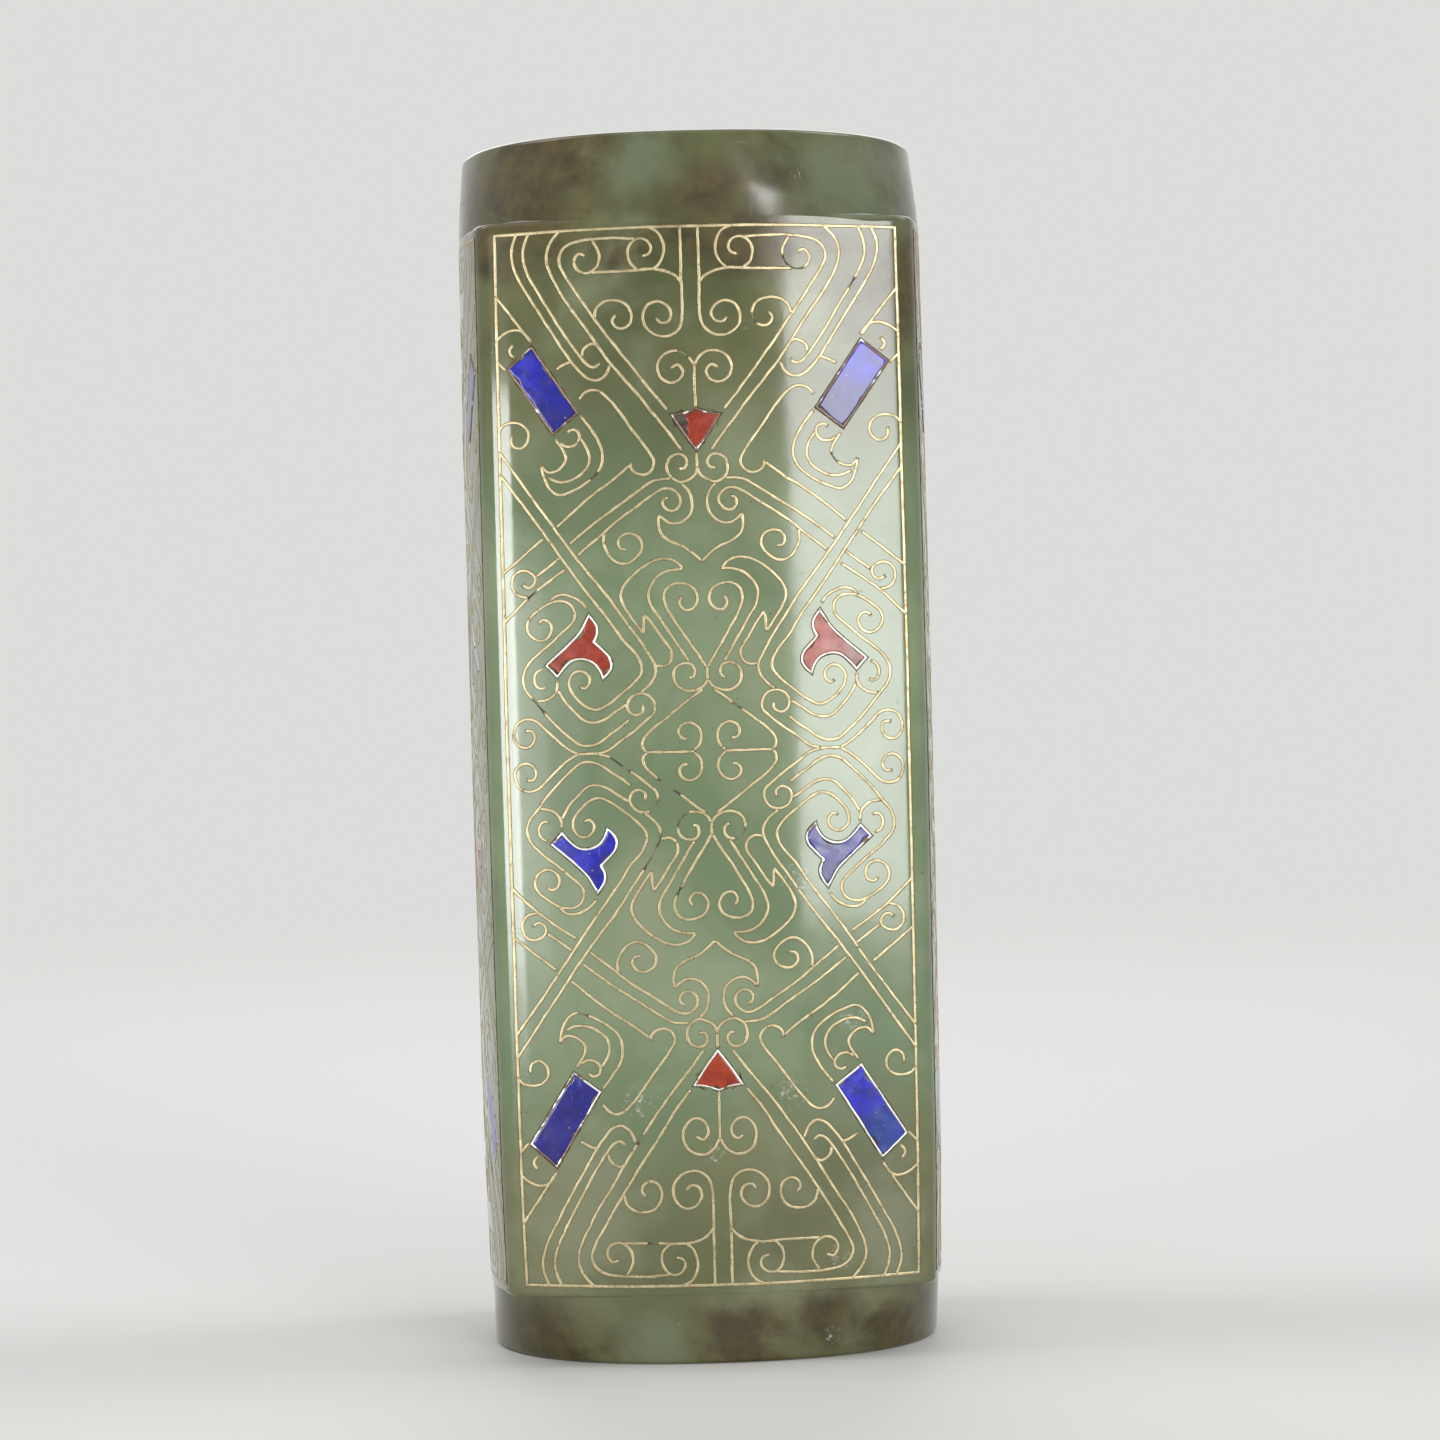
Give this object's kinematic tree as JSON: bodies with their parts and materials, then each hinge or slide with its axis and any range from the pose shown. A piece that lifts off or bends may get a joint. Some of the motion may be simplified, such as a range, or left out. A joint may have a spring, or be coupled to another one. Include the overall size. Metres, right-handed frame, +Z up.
{
  "type": "jade cong",
  "caption": "Square jade tube with round collars and a round through bore; each face is inlaid with gold wire scrolls and stones in silver cells.",
  "frame": {"origin": "centre of the bottom rim, on the surface that the tube stands on", "axes": "+Z up along the bore, -Y out of the front face, +X out of the right face"},
  "size_m": [0.0626, 0.0626, 0.16],
  "materials": {
    "jade": "polished grey-green nephrite with russet clouding at both ends",
    "gold": "soft hammered gold wire, lightly worn",
    "silver": "bright silver cell wall with dark tarnish at its foot",
    "lapis": "polished opaque ultramarine stone with pale flecks",
    "coral": "polished opaque orange-red coral"
  },
  "bodies": {
    "root": {"jade_tube": "jade", "front_frame_strip": "gold", "front_fan_wires": "gold", "front_band_wires": "gold", "front_bar_wires": "gold", "front_cross_wires": "gold", "front_strap_wires": "gold", "front_feather_wires": "gold", "front_hook_wires": "gold", "front_lozenge_wires": "gold", "front_lapis_bars": "lapis", "front_coral_wedges": "coral", "front_upper_hooks": "coral", "front_lower_hooks": "lapis", "front_silver_cells": "silver", "right_frame_strip": "gold", "right_fan_wires": "gold", "right_band_wires": "gold", "right_bar_wires": "gold", "right_cross_wires": "gold", "right_strap_wires": "gold", "right_feather_wires": "gold", "right_hook_wires": "gold", "right_lozenge_wires": "gold", "right_lapis_bars": "lapis", "right_coral_wedges": "coral", "right_upper_hooks": "lapis", "right_lower_hooks": "coral", "right_silver_cells": "silver", "back_frame_strip": "gold", "back_fan_wires": "gold", "back_band_wires": "gold", "back_bar_wires": "gold", "back_cross_wires": "gold", "back_strap_wires": "gold", "back_feather_wires": "gold", "back_hook_wires": "gold", "back_lozenge_wires": "gold", "back_lapis_bars": "lapis", "back_coral_wedges": "coral", "back_upper_hooks": "coral", "back_lower_hooks": "lapis", "back_silver_cells": "silver", "left_frame_strip": "gold", "left_fan_wires": "gold", "left_band_wires": "gold", "left_bar_wires": "gold", "left_cross_wires": "gold", "left_strap_wires": "gold", "left_feather_wires": "gold", "left_hook_wires": "gold", "left_lozenge_wires": "gold", "left_lapis_bars": "lapis", "left_coral_wedges": "coral", "left_upper_hooks": "lapis", "left_lower_hooks": "coral", "left_silver_cells": "silver"}
  },
  "joints": []
}
